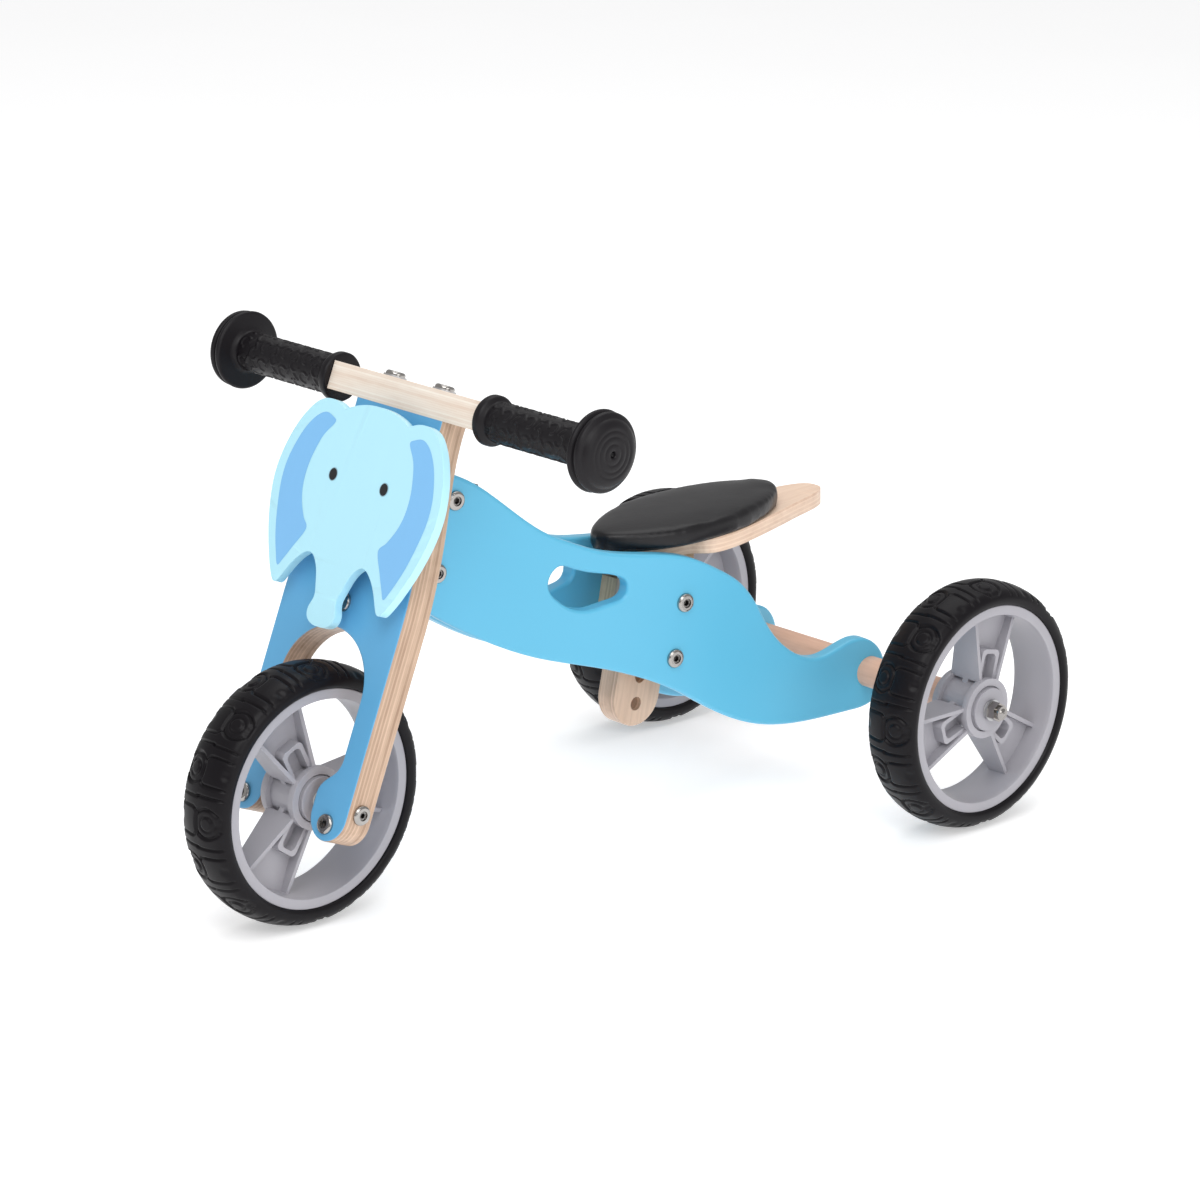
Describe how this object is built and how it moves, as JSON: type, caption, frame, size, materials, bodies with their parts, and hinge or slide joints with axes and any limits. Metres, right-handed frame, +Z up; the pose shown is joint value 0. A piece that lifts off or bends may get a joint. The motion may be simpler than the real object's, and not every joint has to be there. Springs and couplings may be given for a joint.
{
  "type": "balance bike",
  "caption": "Child's wooden ride-on with a steered front wheel, handlebar with rubber grips, animal face board, padded seat on a height post and two rear wheels.",
  "frame": {"origin": "on the floor, midway between the front and rear axles, in the middle plane", "axes": "+X forward along the wheelbase, +Y to the rider's left, +Z up"},
  "size_m": [0.703, 0.402, 0.3919],
  "materials": {
    "sky_blue_paint": "painted plywood, satin",
    "mid_blue_paint": "painted face on plywood, satin, bare varnished edges",
    "pale_blue_paint": "painted plywood, satin",
    "birch_plywood": "clear satin varnish",
    "beech": "clear satin varnish",
    "black_rubber": "matt, moulded pattern",
    "black_seat_cover": "fine grain, low sheen",
    "black_plastic": "matt",
    "black_steel": "powder coat, satin",
    "white_nylon": "matt",
    "plain_steel": "zinc plated",
    "bolt_steel": "nickel plated, bright",
    "chrome": "polished",
    "grey_plastic": "satin moulded",
    "dark_grey_plastic": "matt",
    "black_tyre": "matt foam rubber"
  },
  "bodies": {
    "frame": {"side_board_left": "sky_blue_paint", "side_board_right": "sky_blue_paint", "steering_head": "black_steel", "steering_head_bushes": "white_nylon", "head_bolts": "bolt_steel", "seat_cheek_blocks": "birch_plywood", "cheek_bolts": "bolt_steel", "seat_post": "birch_plywood", "seat_post_pins": "plain_steel", "seat_cleats": "beech", "cleat_bolts": "bolt_steel", "cleat_nuts": "plain_steel", "seat_board": "birch_plywood", "seat_board_screws": "plain_steel", "seat_pad_base": "black_plastic", "seat_pad_screws": "plain_steel", "seat_pad": "black_seat_cover", "rear_axle_dowel": "beech", "rear_axle": "plain_steel", "rear_axle_washers": "plain_steel", "rear_axle_nuts": "chrome"},
    "fork": {"fork_board": "mid_blue_paint", "handlebar": "birch_plywood", "handlebar_bolts": "bolt_steel", "handlebar_washers": "plain_steel", "handlebar_barrel_nuts": "plain_steel", "grip_left": "black_rubber", "grip_right": "black_rubber", "face_board": "pale_blue_paint", "face_rails": "beech", "face_screws": "plain_steel", "steering_lugs": "black_steel", "lug_bolts": "bolt_steel", "steering_pin": "plain_steel", "steering_pin_nut": "plain_steel", "leg_bolts": "bolt_steel", "leg_nuts": "plain_steel", "front_axle": "plain_steel", "front_axle_bolts": "bolt_steel", "front_axle_spacers": "plain_steel"},
    "front_wheel": {"front_rim": "grey_plastic", "front_spokes": "grey_plastic", "front_tyre": "black_tyre", "front_hub_bushes": "white_nylon", "front_hub_caps": "dark_grey_plastic"},
    "rear_left_wheel": {"rear_left_rim": "grey_plastic", "rear_left_spokes": "grey_plastic", "rear_left_tyre": "black_tyre", "rear_left_hub_bushes": "white_nylon", "rear_left_hub_caps": "dark_grey_plastic"},
    "rear_right_wheel": {"rear_right_rim": "grey_plastic", "rear_right_spokes": "grey_plastic", "rear_right_tyre": "black_tyre", "rear_right_hub_bushes": "white_nylon", "rear_right_hub_caps": "dark_grey_plastic"}
  },
  "joints": [
    {"name": "steering", "type": "hinge", "parent": "frame", "child": "fork", "pos_m": [0.16181, 0, 0.26913], "axis": [-0.3584, 0, 0.9336], "range_deg": [-38, 38]},
    {"name": "front_wheel_spin", "type": "hinge", "parent": "fork", "child": "front_wheel", "pos_m": [0.2565, 0, 0.095], "axis": [0, 1, 0], "continuous": true},
    {"name": "rear_left_wheel_spin", "type": "hinge", "parent": "frame", "child": "rear_left_wheel", "pos_m": [-0.2565, 0.1665, 0.095], "axis": [0, 1, 0], "continuous": true},
    {"name": "rear_right_wheel_spin", "type": "hinge", "parent": "frame", "child": "rear_right_wheel", "pos_m": [-0.2565, -0.1665, 0.095], "axis": [0, 1, 0], "continuous": true}
  ]
}
